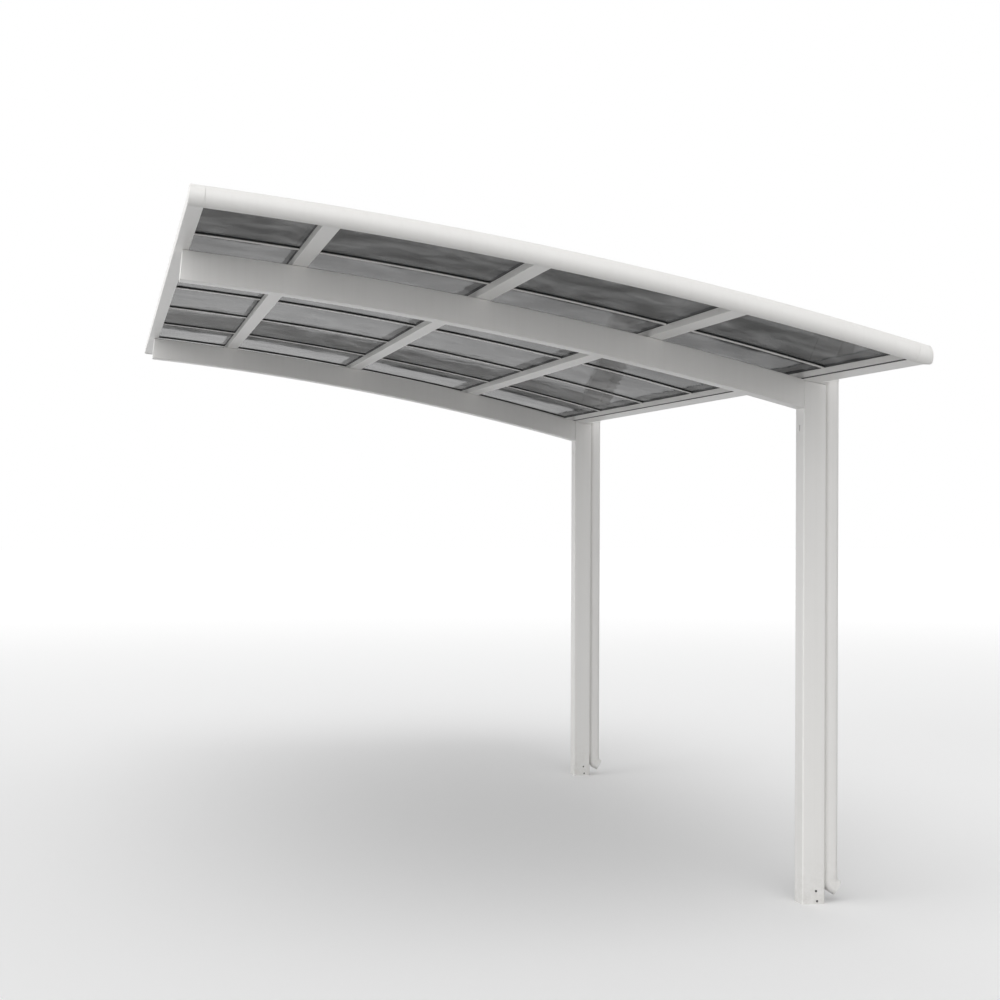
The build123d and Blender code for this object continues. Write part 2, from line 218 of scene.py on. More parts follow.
# How finely curves are divided
ARCH_STEPS = 56
CORNER_STEPS = 4
HALF_ROUND_STEPS = 36
END_STEPS = 5
LOW_CORNER_STEPS = 7
SHEET_STEPS = 96
SHEET_COLUMNS = 25
CROWN_COLUMNS = 13
PIPE_CORNER_STEPS = 8
HOOD_STEPS = 6
ELBOW_STEPS = 14
SCREW_SIDES = 14
ROOT = "root"


# Settings that a user may change
class CarportSizes(bpy.types.PropertyGroup):
    """Sizes of the small things that the frame leaves open."""

    edge: bpy.props.FloatProperty(
        name="Edge rounding",
        description="Radius of the rounded edges of the thin profiles",
        default=0.0009, min=0.0003, max=0.0012, unit="LENGTH",
    )
    end_edge: bpy.props.FloatProperty(
        name="End rounding",
        description="Radius of the rounded ends of the corner pieces",
        default=0.004, min=0.001, max=0.008, unit="LENGTH",
    )
    sheet_sag: bpy.props.FloatProperty(
        name="Sheet sag",
        description="How far each sheet hangs down between two purlins",
        default=0.0016, min=0.0, max=0.003, unit="LENGTH",
    )
    screw_head: bpy.props.FloatProperty(
        name="Screw head",
        description="Diameter of a screw head",
        default=0.0095, min=0.005, max=0.014, unit="LENGTH",
    )
    washer: bpy.props.FloatProperty(
        name="Washer",
        description="Diameter of the sealing washer under a roof screw",
        default=0.016, min=0.010, max=0.020, unit="LENGTH",
    )


class CarportColours(bpy.types.PropertyGroup):
    """Colours and finishes of the carport."""

    coat: bpy.props.FloatVectorProperty(
        name="Powder coat",
        description="Colour of the coated profiles",
        default=(0.808, 0.799, 0.782), size=3, min=0.0, max=1.0, subtype="COLOR",
    )
    moulding: bpy.props.FloatVectorProperty(
        name="Moulded pieces",
        description="Colour of the plastic corner pieces and caps",
        default=(0.815, 0.807, 0.790), size=3, min=0.0, max=1.0, subtype="COLOR",
    )
    sheet: bpy.props.FloatVectorProperty(
        name="Sheet tint",
        description="Colour of the smoked sheets",
        default=(0.035, 0.038, 0.040), size=3, min=0.0, max=1.0, subtype="COLOR",
    )
    sheet_cover: bpy.props.FloatProperty(
        name="Sheet cover",
        description="Share of the light that each face of a smoked sheet keeps back",
        default=0.77, min=0.5, max=1.0, subtype="FACTOR",
    )
    grime: bpy.props.FloatProperty(
        name="Grime",
        description="Strength of the splash marks, dust and rain streaks",
        default=0.10, min=0.0, max=0.5, subtype="FACTOR",
    )


# Materials
class Channel:
    """A shader socket on which the usual operators add Math nodes."""

    def __init__(self, shader, socket):
        self.shader = shader
        self.socket = socket

    def __add__(self, other):
        return self.shader.maths("ADD", self, other)

    __radd__ = __add__

    def __sub__(self, other):
        return self.shader.maths("SUBTRACT", self, other)

    def __rsub__(self, other):
        return self.shader.maths("SUBTRACT", other, self)

    def __mul__(self, other):
        return self.shader.maths("MULTIPLY", self, other)

    __rmul__ = __mul__

    def __pow__(self, other):
        return self.shader.maths("POWER", self, other)


class Finish:
    """A material or world whose nodes are made by one method."""

    def __init__(self, owner, output):
        owner.use_nodes = True
        self.owner = owner
        self.tree = owner.node_tree
        self.tree.nodes.clear()
        self.output = self.tree.nodes.new(output)

    def node(self, kind, settings=None, sockets=None):
        """Adds a node, then sets its settings, then its sockets from values or links."""
        made = self.tree.nodes.new(kind)
        for key, value in (settings or {}).items():
            if key == "stops":
                ramp = made.color_ramp
                while len(ramp.elements) < len(value):
                    ramp.elements.new(1.0)
                for element, (place, grey) in zip(ramp.elements, value):
                    element.position = place
                    element.color = (grey, grey, grey, 1.0)
            else:
                setattr(made, key, value)
        for key, value in (sockets or {}).items():
            target = made.inputs[key]
            if isinstance(value, Channel):
                self.tree.links.new(value.socket, target)
            elif isinstance(value, tuple) and target.type == "RGBA" and len(value) == 3:
                target.default_value = (*value, 1.0)
            else:
                target.default_value = value
        return made

    def out(self, kind, name, settings=None, sockets=None):
        """One output of a new node, as a channel."""
        return Channel(self, self.node(kind, settings, sockets).outputs[name])

    def maths(self, operation, a, b, clamp=False):
        """A Math node on two values, which may keep its result between 0 and 1."""
        return self.out("ShaderNodeMath", 0, {"operation": operation, "use_clamp": clamp}, {0: a, 1: b})

    def mix(self, factor, a, b):
        """A colour between two colours."""
        settings = {"data_type": "RGBA", "clamp_factor": True}
        return self.out("ShaderNodeMix", 2, settings, {0: factor, 6: a, 7: b})

    def coordinates(self, scale=(1.0, 1.0, 1.0)):
        """The object's own coordinates, stretched."""
        place = self.out("ShaderNodeTexCoord", "Object")
        return self.out("ShaderNodeMapping", "Vector", None, {"Vector": place, "Scale": scale})

    def height(self):
        """Height above the ground, in metres."""
        place = self.out("ShaderNodeTexCoord", "Object")
        return self.out("ShaderNodeSeparateXYZ", "Z", None, {0: place})

    def facing_up(self):
        """1 on a surface that faces up, and 0 on one that is upright or faces down."""
        normal = self.out("ShaderNodeNewGeometry", "Normal")
        return self.maths("MAXIMUM", self.out("ShaderNodeSeparateXYZ", "Z", None, {0: normal}), 0.0)

    def noise(self, scale, detail=3.0, roughness=0.5, stretch=(1.0, 1.0, 1.0)):
        """Smooth noise from 0 to 1, with its scale in waves a metre."""
        sockets = {
            "Vector": self.coordinates(stretch),
            "Scale": scale,
            "Detail": detail,
            "Roughness": roughness,
        }
        return self.out("ShaderNodeTexNoise", "Fac", {"noise_dimensions": "3D"}, sockets)

    def ramp(self, value, *stops):
        """A value read from a ramp of grey stops."""
        return self.out("ShaderNodeValToRGB", "Color", {"stops": stops}, {"Fac": value})

    def seen(self):
        """1 for rays that show the background, seen, mirrored or through a sheet, and 0 for others."""
        path = self.node("ShaderNodeLightPath")
        kinds = ("Is Camera Ray", "Is Glossy Ray", "Is Transmission Ray")
        camera, mirrored, through = (Channel(self, path.outputs[kind]) for kind in kinds)
        return self.maths("MAXIMUM", camera, self.maths("MAXIMUM", mirrored, through))

    def bump(self, height, distance, strength=1.0):
        """A normal bent by a height."""
        sockets = {"Height": height, "Distance": distance, "Strength": strength}
        return self.out("ShaderNodeBump", "Normal", None, sockets)

    def surface(self, **sockets):
        """The principled shader, joined to the output."""
        named = {key.replace("_", " "): value for key, value in sockets.items()}
        shader = self.out("ShaderNodeBsdfPrincipled", "BSDF", None, named)
        self.tree.links.new(shader.socket, self.output.inputs["Surface"])
        return self.owner


def new_finish(name):
    """An empty material."""
    return Finish(bpy.data.materials.new(name), "ShaderNodeOutputMaterial")


def coat_material(name, colour, grime, rough, grain_scale, grain_depth):
    """Satin white with a faint mottle and an orange-peel bump. The dirt on it is rain streaks that run
    down, dust on what faces up, and splash marks that fade out with the square of the height."""
    f = new_finish(name)
    mottle = f.noise(7.0, detail=4.0)
    streaks = f.ramp(f.noise(1.0, roughness=0.6, stretch=(55.0, 55.0, 0.9)), (0.46, 0.0), (0.78, 1.0))
    splash_cloud = f.ramp(f.noise(34.0, detail=5.0, roughness=0.65), (0.40, 0.0), (0.72, 1.0))
    splash_height = f.out("ShaderNodeMapRange", "Result", {"clamp": True}, {
        "Value": f.height(), "From Min": 0.0, "From Max": 0.30, "To Min": 1.0, "To Max": 0.0,
    })
    splash = splash_cloud * splash_height ** 2.0
    dust = f.facing_up() * f.ramp(f.noise(14.0, detail=6.0, roughness=0.6), (0.35, 0.15), (0.70, 1.0))
    dirt = f.maths("ADD", streaks * 0.22 + splash * 1.6, dust * 0.45, clamp=True)
    clean = f.mix(mottle, tuple(c * 0.985 for c in colour), tuple(min(1.0, c * 1.012) for c in colour))
    dirty = tuple(c * t for c, t in zip(colour, (0.52, 0.49, 0.44)))
    grain = f.noise(grain_scale, detail=2.0)
    return f.surface(
        Base_Color=f.mix(dirt * grime * 2.0, clean, dirty),
        Roughness=rough + mottle * 0.08 + dirt * 0.18,
        Normal=f.bump(grain, grain_depth, 0.6),
        Coat_Weight=0.12,
        Coat_Roughness=0.22,
        IOR=1.5,
    )


def sheet_material(name, colours):
    """Smoked glossy sheet: a dark tint, clouds and marks that let more or less light through, ripples that
    bend what it mirrors, and dust on its upper face."""
    f = new_finish(name)
    cloud = f.ramp(f.noise(5.5, detail=5.0, roughness=0.6), (0.36, 0.0), (0.64, 1.0))
    marks = f.noise(24.0, detail=5.0, roughness=0.62, stretch=(0.45, 1.0, 1.0))
    marks = f.ramp(marks, (0.44, 0.0), (0.74, 1.0))
    dust = f.facing_up() * f.ramp(f.noise(9.0, detail=7.0, roughness=0.62), (0.36, 0.10), (0.74, 1.0))
    tint = tuple(colours.sheet)
    clear = f.mix(cloud, tuple(c * 0.8 for c in tint), tuple(c * 1.25 for c in tint))
    ripple = f.noise(3.1, detail=2.0, roughness=0.45) + f.noise(11.0, detail=1.0, roughness=0.4) * 0.18
    return f.surface(
        Base_Color=f.mix(dust * colours.grime * 1.5, clear, (0.34, 0.33, 0.31)),
        Roughness=0.045 + cloud * 0.035 + marks * 0.05 + dust * 0.22,
        Normal=f.bump(ripple, 0.004, 0.7),
        Alpha=1.0 - (1.0 - colours.sheet_cover) * (0.52 + cloud * 0.8 + marks * 0.3),
        IOR=1.10,
        Specular_IOR_Level=0.4,
    )


def rubber_material(name):
    """Black sealing rubber with a fine dull grain."""
    f = new_finish(name)
    grain = f.noise(420.0)
    return f.surface(
        Base_Color=f.mix(f.noise(24.0), (0.050, 0.050, 0.051), (0.080, 0.080, 0.081)),
        Roughness=0.62 + grain * 0.2,
        Normal=f.bump(grain, 0.00012, 0.5),
    )


def zinc_material(name):
    """Zinc-plated steel with a faint spangle and dull patches."""
    f = new_finish(name)
    patch = f.out("ShaderNodeTexVoronoi", "Color", None, {"Vector": f.coordinates(), "Scale": 260.0})
    spangle = f.out("ShaderNodeRGBToBW", "Val", None, {0: patch})
    return f.surface(
        Base_Color=f.mix(spangle, (0.50, 0.51, 0.52), (0.64, 0.65, 0.66)),
        Metallic=1.0,
        Roughness=0.26 + f.noise(60.0, detail=4.0) * 0.22,
        Normal=f.bump(f.noise(700.0, detail=2.0), 0.00004, 0.5),
    )


# Outlines and the arch
def rounded(points, radii, steps=CORNER_STEPS):
    """Closed outline with rounded corners: at each corner with a radius, the points of the arc that
    touches both sides, from one side's direction to the other's, and a corner of no radius as it is."""
    p = np.asarray(points, float)
    radii = np.broadcast_to(np.asarray(radii, float), len(p))
    back = np.roll(p, 1, 0) - p
    ahead = np.roll(p, -1, 0) - p
    back /= np.linalg.norm(back, axis=1)[:, None]
    ahead /= np.linalg.norm(ahead, axis=1)[:, None]
    half = np.arccos(np.clip((back * ahead).sum(1), -1.0, 1.0)) / 2
    bisector = back + ahead
    bisector /= np.maximum(np.linalg.norm(bisector, axis=1), 1e-9)[:, None]
    centre = p + bisector * (radii / np.sin(half))[:, None]
    start = p + back * (radii / np.tan(half))[:, None] - centre
    turn = np.sign(back[:, 0] * ahead[:, 1] - back[:, 1] * ahead[:, 0]) * -(math.pi - 2 * half)
    angle = turn[:, None] * np.linspace(0.0, 1.0, steps + 1)[None, :]
    x = start[:, :1] * np.cos(angle) - start[:, 1:] * np.sin(angle)
    y = start[:, :1] * np.sin(angle) + start[:, 1:] * np.cos(angle)
    arcs = centre[:, None, :] + np.stack([x, y], 2)
    wanted = (radii[:, None] > 0) | (np.arange(steps + 1) == 0)[None, :]
    return arcs[wanted]


def box_outline(a0, a1, b0, b1):
    """Corners of a rectangle."""
    return [(a0, b0), (a1, b0), (a1, b1), (a0, b1)]


def angle_over(x, r=0.0):
    """Angle from the vertical of the arch's radius whose point at height r lies over x."""
    return np.arcsin((np.asarray(x, float) - CENTRE_X) / (ARCH_RADIUS + np.asarray(r, float)))


def on_arch(theta, y, r):
    """Points at an angle round the arch's axis, at y, and r above the arch line."""
    reach = ARCH_RADIUS + r
    x, y, z = np.broadcast_arrays(CENTRE_X + reach * np.sin(theta), y, CENTRE_Z + reach * np.cos(theta))
    return np.stack([x, y, z], -1)


def height_over(x, r):
    """Height over x of the circle that lies r outside the arch line."""
    return CENTRE_Z + np.sqrt((ARCH_RADIUS + r) ** 2 - (np.asarray(x, float) - CENTRE_X) ** 2)


def head_z(x):
    """Height of the sloping post heads and of the gutter's floor over x."""
    return POST_HEIGHT - GUTTER_FALL * (np.asarray(x, float) + POST_HALF_X) / (GUTTER_OUTER_X + POST_HALF_X)


def hood_z(x):
    """Height over x of the seam between a downpipe and its hood, which rises outwards from the gutter."""
    return float(head_z(GUTTER_OUTER_X)) + HOOD_SEAM_RISE * (np.asarray(x, float) - GUTTER_OUTER_X)


def square_to_arch(section, over_x):
    """Section in s and r turned into x and z, square to the arch's radius over an x."""
    a = float(angle_over(over_x))
    s, r = np.asarray(section, float).T
    reach = ARCH_RADIUS + r
    x = CENTRE_X + reach * math.sin(a) + s * math.cos(a)
    z = CENTRE_Z + reach * math.cos(a) - s * math.sin(a)
    return np.stack([x, z], 1)


def rings_along_arch(section, x0, x1, steps=ARCH_STEPS, upright_end=False):
    """Section in y and r repeated at even angles from over x0 to over x1. An upright end stops every
    point of the section over the same x instead of at the same angle."""
    y, r = np.asarray(section, float).T
    start = angle_over(x0)
    end = angle_over(x1, r) if upright_end else np.full(len(r), float(angle_over(x1)))
    share = np.linspace(0.0, 1.0, steps + 1)[:, None]
    return on_arch(start + share * (end[None, :] - start), y[None, :], r[None, :])


def rings_along_y(section, y0=FRAME_NEAR_Y, y1=FRAME_FAR_Y):
    """Section in x and z at y0 and at y1."""
    x, z = np.asarray(section, float).T
    y = np.array([y0, y1])[:, None]
    x, y, z = np.broadcast_arrays(x[None, :], y, z[None, :])
    return np.stack([x, y, z], -1)


def rings_upright(section, low, high):
    """Section in x and y at a low and a high height, each the same for all points or one for each."""
    x, y = np.asarray(section, float).T
    z = np.stack([np.broadcast_to(low, len(x)), np.broadcast_to(high, len(x))])
    x, y, z = np.broadcast_arrays(x[None, :], y[None, :], z)
    return np.stack([x, y, z], -1)


def drawn_in(section, middle, half, inset):
    """Section scaled about its middle so that each side, half its size away, moves in by an inset."""
    middle = np.asarray(middle)
    return middle + (section - middle) * (1.0 - inset / np.asarray(half))


# Meshes
def ring_faces(rows, columns, first=0):
    """Quads between neighbouring rings, each ring closed on itself."""
    index = first + np.arange(rows * columns).reshape(rows, columns)
    beside = np.roll(index, -1, 1)
    return np.stack([index[:-1], beside[:-1], beside[1:], index[1:]], -1).reshape(-1, 4).tolist()


def solid(rings):
    """Vertices and faces of closed rings joined in a row, with a flat face over each end."""
    rows, columns = rings.shape[:2]
    faces = ring_faces(rows, columns)
    faces.append(list(range(columns))[::-1])
    faces.append(list(range((rows - 1) * columns, rows * columns)))
    return rings.reshape(-1, 3), faces


def pipe(outer, inner):
    """Vertices and faces of a tube between outer and inner rings that match point by point."""
    rows, columns = outer.shape[:2]
    count = rows * columns
    faces = ring_faces(rows, columns) + [face[::-1] for face in ring_faces(rows, columns, count)]
    for row, turn in ((0, 1), (rows - 1, -1)):
        edge = row * columns + np.arange(columns)
        beside = np.roll(edge, -1)
        band = np.stack([edge, edge + count, beside + count, beside], 1)
        faces += band[:, ::turn].tolist()
    return np.concatenate([outer.reshape(-1, 3), inner.reshape(-1, 3)]), faces


def bar_along_x(section, x0, x1):
    """Closed bar with a section in y and z, from x0 to x1."""
    y, z = np.asarray(section, float).T
    x = np.array([x0, x1])[:, None]
    return solid(np.stack(np.broadcast_arrays(x, y[None, :], z[None, :]), -1))


def new_mesh(name, shape):
    """Mesh of a shape's vertices and faces, with doubles merged and faces turned outwards."""
    vertices, faces = shape
    mesh = bpy.data.meshes.new(name)
    mesh.from_pydata(vertices.tolist(), [], faces)
    work = bmesh.new()
    work.from_mesh(mesh)
    bmesh.ops.remove_doubles(work, verts=work.verts, dist=1e-6)
    bmesh.ops.recalc_face_normals(work, faces=work.faces)
    work.to_mesh(mesh)
    work.free()
    return mesh


def new_object(name, data):
    """Object in the scene that holds a mesh, a lamp or a camera."""
    made = bpy.data.objects.new(name, data)
    bpy.context.scene.collection.objects.link(made)
    return made


def cut_out(piece, shape):
    """Takes a closed shape out of a piece."""
    cutter = new_object("cutter", new_mesh("cutter", shape))
    cut = piece.modifiers.new("cut", "BOOLEAN")
    cut.operation = "DIFFERENCE"
    cut.solver = "EXACT"
    cut.object = cutter
    bpy.context.view_layer.update()
    graph = bpy.context.evaluated_depsgraph_get()
    result = bpy.data.meshes.new_from_object(piece.evaluated_get(graph))
    piece.modifiers.remove(cut)
    piece.data = result
    bpy.data.objects.remove(cutter)


def add_piece(name, shape, slot, nodes=(), smooth_angle=40.0, cutters=()):
    """A piece of the object in its slot's finish, with flat sides kept flat, riding on the frame in place
    of the nodes that it stands for."""
    piece = new_object(name, new_mesh(name, shape))
    for cutter in cutters:
        cut_out(piece, cutter)
    mesh = piece.data
    mesh.shade_smooth()
    mesh.set_sharp_from_angle(angle=math.radians(smooth_angle))
    weighted = piece.modifiers.new("flat_sides", "WEIGHTED_NORMAL")
    weighted.keep_sharp = True
    mesh.materials.clear()
    mesh.materials.append(finish_named(slot))
    if nodes:
        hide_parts(*nodes)
    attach(piece, ROOT)


# Finishes of the slots
def finish_named(slot):
    """The finish of a slot, made when it is first needed. The frame's own plain materials have the slots'
    names, so a finish has a name of its own."""
    name = slot + "_finish"
    found = bpy.data.materials.get(name)
    if found:
        return found
    colours = bpy.context.scene.carport_colours
    if slot == "white_coat":
        return coat_material(name, tuple(colours.coat), colours.grime, *COAT_GRAIN)
    if slot == "white_plastic":
        return coat_material(name, tuple(colours.moulding), colours.grime, *MOULDING_GRAIN)
    if slot == "smoked_sheet":
        return sheet_material(name, colours)
    if slot == "rubber_seal":
        return rubber_material(name)
    return zinc_material(name)


class CARPORT_OT_frame_finishes(bpy.types.Operator):
    """Gives every node of the frame the finish of its slot"""

    bl_idname = "carport.frame_finishes"
    bl_label = "Frame finishes"

    def execute(self, context):
        slots = {part["node"]: part["material_slot"] for part in frame["record"]["subparts"]}
        for node, piece in frame["nodes"].items():
            piece.data.materials.clear()
            piece.data.materials.append(finish_named(slots[node]))
        return {"FINISHED"}


# Posts and beams
def slot_cutter(y):
    """Bar with round ends that cuts a cable slot through the left wall of the post at y."""
    half_width = SLOT_WIDTH / 2
    half_length = SLOT_LENGTH / 2
    outline = box_outline(y - half_width, y + half_width, SLOT_Z - half_length, SLOT_Z + half_length)
    outline = rounded(outline, half_width * ROUND_SHARE, steps=8)
    return bar_along_x(outline, -POST_HALF_X - POST_WALL, -POST_HALF_X + 2 * POST_WALL)


class CARPORT_OT_posts(bpy.types.Operator):
    """Builds the two posts with their sloping heads and cable slots"""

    bl_idname = "carport.posts"
    bl_label = "Posts"

    def execute(self, context):
        for name, y in POSTS:
            walls = []
            for wall in (0.0, POST_WALL):
                hx = POST_HALF_X - wall
                hy = POST_HALF_Y - wall
                plan = rounded(box_outline(-hx, hx, y - hy, y + hy), POST_CORNER - wall, steps=6)
                walls.append(rings_upright(plan, 0.0, head_z(plan[:, 0]) - CAP_THICKNESS - HEAD_GAP))
            slot = [slot_cutter(y)]
            add_piece(name + "_post_tube", pipe(*walls), "white_coat", [name + "_post"], 30.0, slot)
        return {"FINISHED"}


def beam_outline(y, wall):
    """Corners of the section of the beam at y, or of its hollow inside a wall."""
    half = POST_HALF_Y - wall
    return box_outline(y - half, y + half, BEAM_TOP - BEAM_HEIGHT + wall, BEAM_TOP - wall)


class CARPORT_OT_beams(bpy.types.Operator):
    """Builds the two arched box beams and the plates over their high ends"""

    bl_idname = "carport.beams"
    bl_label = "Beams"

    def execute(self, context):
        start = BEAM_END_X + BEAM_CAP
        half = BEAM_HEIGHT / 2
        for name, y in POSTS:
            outer = rounded(beam_outline(y, 0.0), BEAM_CORNER, steps=5)
            inner = rounded(beam_outline(y, BEAM_WALL), BEAM_HOLLOW_CORNER, steps=5)
            walls = [rings_along_arch(w, start, -POST_HALF_X, upright_end=True) for w in (outer, inner)]
            add_piece(name + "_beam_tube", pipe(*walls), "white_coat", [name + "_beam"])
            rings = []
            for x, inset in ((BEAM_END_X, SOFT_EDGE), (BEAM_END_X + SOFT_EDGE, 0.0), (start - SEAT, 0.0)):
                section = drawn_in(outer, (y, BEAM_TOP - half), (POST_HALF_Y, half), inset)
                rings.append(on_arch(angle_over(x), section[:, 0], section[:, 1]))
            plate = solid(np.stack(rings))
            add_piece(name + "_beam_plate", plate, "white_plastic", [name + "_beam_end_cap"], 50.0)
        return {"FINISHED"}


# Purlins, rail and gutter
def purlin_shape(x):
    """Tube along the roof with its edge over x, square to the arch."""
    w = PROFILE_WALL
    low = -SEAT - PURLIN_DEPTH
    outer = rounded(box_outline(0, PURLIN_WIDTH, low, -SEAT), PROFILE_CORNER)
    inner = rounded(box_outline(w, PURLIN_WIDTH - w, low + w, -SEAT - w), PROFILE_HOLLOW_CORNER)
    return pipe(*(rings_along_y(square_to_arch(wall, x)) for wall in (outer, inner)))


def rail_shape(edge):
    """Rail with a slot for the sheets' ends and a clamp over them, rounded from its side into its top."""
    w = PROFILE_WALL
    low = -SEAT - PURLIN_DEPTH
    points = [
        (0, low),
        (RAIL_WIDTH, low),
        (RAIL_WIDTH, -SEAT),
        (w, -SEAT),
        (w, CLAMP_LOW),
        (RAIL_TOP_WIDTH, CLAMP_LOW),
        (RAIL_TOP_WIDTH, TRIM_ABOVE),
        (0, TRIM_ABOVE),
    ]
    top_round = TRIM_ABOVE - CLAMP_LOW - 2 * w
    radii = [PROFILE_CORNER, PROFILE_CORNER, edge, edge, edge, edge, PROFILE_CORNER, top_round]
    return solid(rings_along_y(square_to_arch(rounded(points, radii, steps=8), RAIL_OUTER_X)))


def gutter_shape():
    """Gutter: a sloping floor, an outer wall with a lip, a ledge under the sheets' ends, and an inner wall
    with a groove at its foot."""
    w = GUTTER_WALL
    left = -POST_HALF_X
    right = GUTTER_OUTER_X
    ledge = left + GUTTER_LEDGE
    turn_x = right - GUTTER_CORNER
    floor = float(head_z(turn_x))
    points = [
        (left, POST_HEIGHT),
        (turn_x, floor),
        (right, floor),
        (right, GUTTER_TOP),
        (right - GUTTER_LIP, GUTTER_TOP),
        (right - GUTTER_LIP, GUTTER_TOP - w),
        (right - w, GUTTER_TOP - w),
        (right - w, floor + w),
        (turn_x, floor + w),
        (left + w, float(head_z(left + w)) + w),
        (left + w, float(height_over(left + w, -SEAT - w))),
        (ledge, float(height_over(ledge, -SEAT - w))),
        (ledge, float(height_over(ledge, -SEAT))),
        (left, float(height_over(left, -SEAT))),
        (left, SEAM_HIGH),
        (SEAM_IN_X, SEAM_HIGH),
        (SEAM_IN_X, SEAM_LOW),
        (left, SEAM_LOW),
    ]
    outer_wall = [SOFT_EDGE, 0, GUTTER_CORNER - ARC_GAP, SOFT_EDGE]
    inside = [*[FINE_EDGE] * 3, GUTTER_CORNER - w - ARC_GAP, 0, *[FINE_EDGE] * 4]
    inner_wall = [SOFT_EDGE, 0, 0, 0, 0]
    return solid(rings_along_y(rounded(points, outer_wall + inside + inner_wall, steps=5)))


def window_cutter(y):
    """Bar that cuts the window into the hood at y through the gutter's outer wall."""
    turn_x = GUTTER_OUTER_X - GUTTER_CORNER
    low = float(head_z(turn_x)) + GUTTER_CORNER + GUTTER_WALL
    half = WINDOW_WIDTH / 2
    outline = rounded(box_outline(y - half, y + half, low, low + WINDOW_HEIGHT), WINDOW_CORNER, steps=3)
    return bar_along_x(outline, turn_x, GUTTER_OUTER_X + GUTTER_WALL)


class CARPORT_OT_long_members(bpy.types.Operator):
    """Builds the purlins, the high edge rail, the gutter, and a black rubber strip in the gutter's groove
    that paints the seam's shadow line
    """

    bl_idname = "carport.long_members"
    bl_label = "Purlins, rail and gutter"

    def execute(self, context):
        for number, x in enumerate(PURLIN_X, 1):
            add_piece(f"purlin_tube_{number}", purlin_shape(x), "white_coat", [f"purlin_{number}"])
        rail = rail_shape(context.scene.carport_sizes.edge)
        add_piece("high_edge_profile", rail, "white_coat", ["high_edge_rail"])
        windows = [window_cutter(y) for name, y in POSTS]
        add_piece("low_edge_profile", gutter_shape(), "white_coat", ["low_edge_gutter"], 30.0, windows)
        # Black rubber strip sunk in the groove at the gutter's foot: painted shadow, dark so that the seam
        # shows as a shadow line
        section = box_outline(-POST_HALF_X + SEAM_RECESS, SEAM_IN_X, SEAM_LOW, SEAM_HIGH)
        seal = solid(rings_along_y(section, FRAME_NEAR_Y + SEAT, FRAME_FAR_Y - SEAT))
        add_piece("gutter_seam_shadow_strip", seal, "rubber_seal")
        return {"FINISHED"}


# Trims and corners
def half_round():
    """Half-round outline beyond a frame's end plane: d outwards and r up, an arc through the bulge."""
    middle = (TRIM_ABOVE - TRIM_BELOW) / 2
    half = (TRIM_ABOVE + TRIM_BELOW) / 2
    radius = (half ** 2 + TRIM_BULGE ** 2) / (2 * TRIM_BULGE)
    reach = math.atan2(half, radius - TRIM_BULGE)
    a = np.linspace(-reach, reach, HALF_ROUND_STEPS + 1)
    return np.stack([TRIM_BULGE - radius + radius * np.cos(a), middle + radius * np.sin(a)], 1)


def trim_outline(edge):
    """Outline of a trim in d and r: the half-round, then a lip over the sheet and a ledge under it."""
    high = CLAMP_LOW + PROFILE_WALL
    points = [
        (0.0, high),
        (-LIP_WIDTH, high),
        (-LIP_WIDTH, CLAMP_LOW),
        (0.0, CLAMP_LOW),
        (0.0, FLANGE),
        (-LIP_WIDTH, FLANGE),
        (-LIP_WIDTH, 0.0),
        (0.0, 0.0),
    ]
    return np.concatenate([half_round(), rounded(points, edge, steps=3)])


def at_side(section, side):
    """Section in d and r moved to the near or far end plane, as y and r."""
    d, r = np.asarray(section, float).T
    plane = FRAME_FAR_Y if side > 0 else FRAME_NEAR_Y
    return np.stack([plane + side * d, r], 1)


def corner_section(side, inset):
    """Section of a corner piece as y and r: the half-round drawn in by an inset."""
    middle = (TRIM_BULGE / 2, (TRIM_ABOVE - TRIM_BELOW) / 2)
    half = (TRIM_BULGE / 2, (TRIM_ABOVE + TRIM_BELOW) / 2)
    return at_side(drawn_in(half_round(), middle, half, inset), side)


def end_round(face_x, inward, radius):
    """Places and insets of the rings over a rounded end, on a quarter circle from its face to the full
    section. Inward is 1 where the piece lies beyond its face in x, and -1 where it lies before it."""
    turns = np.linspace(math.pi / 2, 0.0, END_STEPS + 1)
    return [(face_x + inward * radius * (1 - math.sin(a)), radius * (1 - math.cos(a))) for a in turns]


def high_corner_shape(side, radius):
    """Half-round along the arch, with its edges broken at the trim and its high end rounded."""
    stations = [
        *end_round(RAIL_OUTER_X, 1, radius),
        (RAIL_INNER_X - SOFT_EDGE, 0.0),
        (RAIL_INNER_X - SEAT, SOFT_EDGE),
    ]
    sections = [(x, corner_section(side, inset)) for x, inset in stations]
    rings = [on_arch(angle_over(x), section[:, 0], section[:, 1]) for x, section in sections[::-1]]
    return solid(np.stack(rings))


def low_corner_shape(side, radius):
    """Half-round whose rings turn from square to the arch at the trim to upright at the gutter's outside,
    and which stops below at one level. The rings of its end round run back from the face, so the surface
    folds over itself there."""
    level = float(height_over(GUTTER_OUTER_X - TRIM_BULGE, -TRIM_BELOW))
    straight = np.linspace(TRIM_END_X + SOFT_EDGE, GUTTER_OUTER_X - 2 * radius, LOW_CORNER_STEPS + 1)
    stations = [
        (TRIM_END_X + SEAT, SOFT_EDGE),
        *((x, 0.0) for x in straight),
        *end_round(GUTTER_OUTER_X, -1, radius),
    ]
    rings = []
    for x, inset in stations:
        y, r = corner_section(side, inset).T
        square = on_arch(angle_over(x), y, r)
        upright = np.stack([np.full(len(y), x), y, height_over(x, r)], 1)
        share = min(max((x - TRIM_END_X) / (GUTTER_OUTER_X - TRIM_END_X), 0.0), 1.0)
        ring = square + (upright - square) * share
        ring[:, 2] = np.maximum(ring[:, 2], level + inset)
        rings.append(ring)
    return solid(np.stack(rings))


